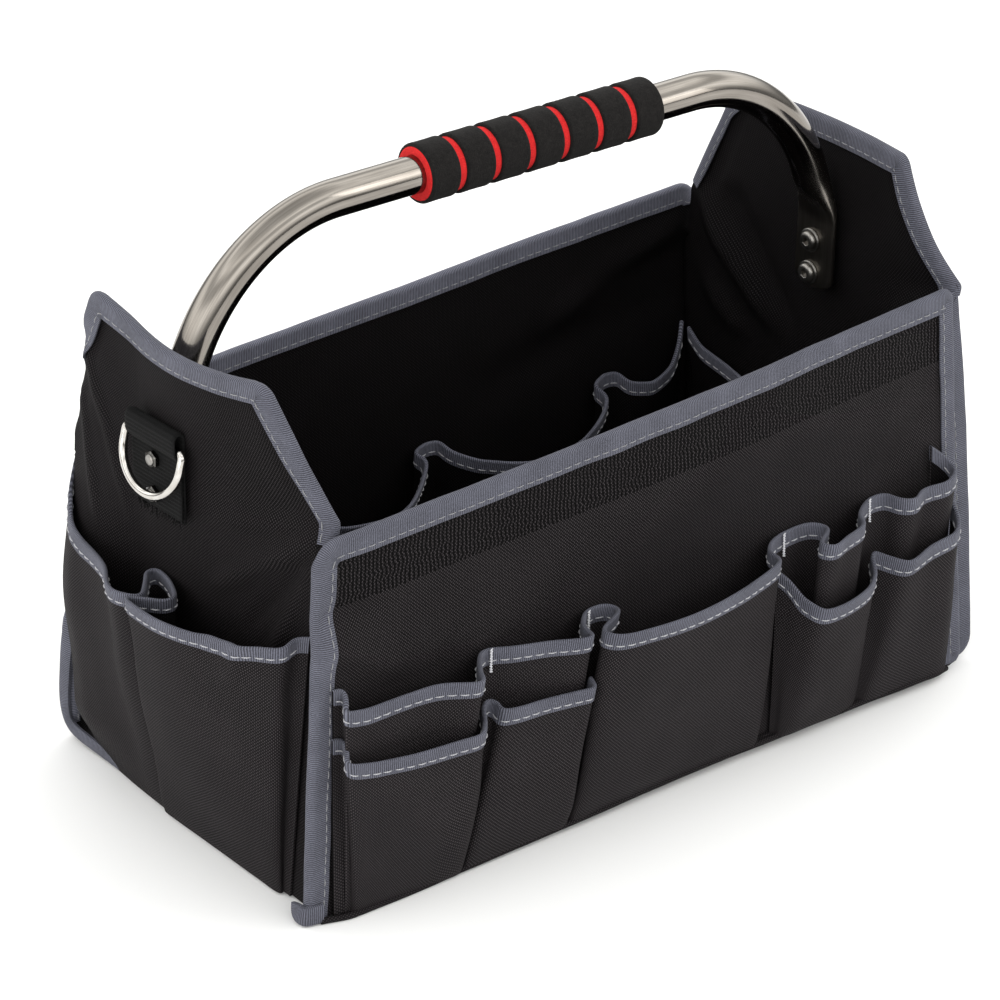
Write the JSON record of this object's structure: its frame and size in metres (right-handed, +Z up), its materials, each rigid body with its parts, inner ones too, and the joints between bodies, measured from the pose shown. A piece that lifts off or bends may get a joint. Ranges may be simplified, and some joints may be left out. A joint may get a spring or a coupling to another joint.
{
  "type": "tool bag",
  "caption": "Open-topped cloth tool bag with taped edges, pleated pockets outside and inside, a bolted steel tube handle with a foam grip, and D-rings for a shoulder strap.",
  "frame": {"origin": "on the floor, under the middle of the base", "axes": "+X along the bag to its right end, +Y from the front pockets to the back, +Z up"},
  "size_m": [0.4866, 0.2621, 0.331],
  "materials": {
    "cloth": "matt woven polyester",
    "tape": "ribbed grosgrain tape",
    "webbing": "ribbed polyester webbing",
    "tube": "satin steel",
    "hardware": "bright plated",
    "red_foam": "matt closed-cell foam",
    "black_foam": "matt closed-cell foam"
  },
  "bodies": {
    "bag": {"base_tray": "cloth", "front_panel": "cloth", "back_panel": "cloth", "left_end_panel": "cloth", "right_end_panel": "cloth", "front_upper_pocket": "cloth", "front_lower_left_pocket": "cloth", "front_lower_right_pocket": "cloth", "left_end_pocket": "cloth", "right_end_pocket": "cloth", "inner_back_pocket": "cloth", "inner_right_pocket": "cloth", "front_binding": "tape", "back_binding": "tape", "left_end_binding": "tape", "right_end_binding": "tape", "front_upper_pocket_binding": "tape", "front_lower_left_binding": "tape", "front_lower_right_binding": "tape", "left_end_pocket_binding": "tape", "right_end_pocket_binding": "tape", "inner_back_binding": "tape", "inner_right_binding": "tape", "left_ring_loop": "webbing", "right_ring_loop": "webbing", "handle_tube": "tube", "grip_core": "red_foam", "grip_ring_1": "black_foam", "grip_ring_2": "black_foam", "grip_ring_3": "black_foam", "grip_ring_4": "black_foam", "grip_ring_5": "black_foam", "grip_ring_6": "black_foam", "grip_ring_7": "black_foam", "left_upper_bolt": "hardware", "left_lower_bolt": "hardware", "right_upper_bolt": "hardware", "right_lower_bolt": "hardware", "left_upper_washer": "hardware", "left_lower_washer": "hardware", "right_upper_washer": "hardware", "right_lower_washer": "hardware", "left_upper_nut": "hardware", "left_lower_nut": "hardware", "right_upper_nut": "hardware", "right_lower_nut": "hardware"},
    "left_ring": {"left_d_ring": "hardware"},
    "right_ring": {"right_d_ring": "hardware"}
  },
  "joints": [
    {"name": "left_ring_swing", "type": "hinge", "parent": "bag", "child": "left_ring", "pos_m": [-0.22265, 0.01, 0.2215], "axis": [0, 1, 0], "range_deg": [0, 150]},
    {"name": "right_ring_swing", "type": "hinge", "parent": "bag", "child": "right_ring", "pos_m": [0.20945, 0, 0.2215], "axis": [0, -1, 0], "range_deg": [0, 150]}
  ]
}
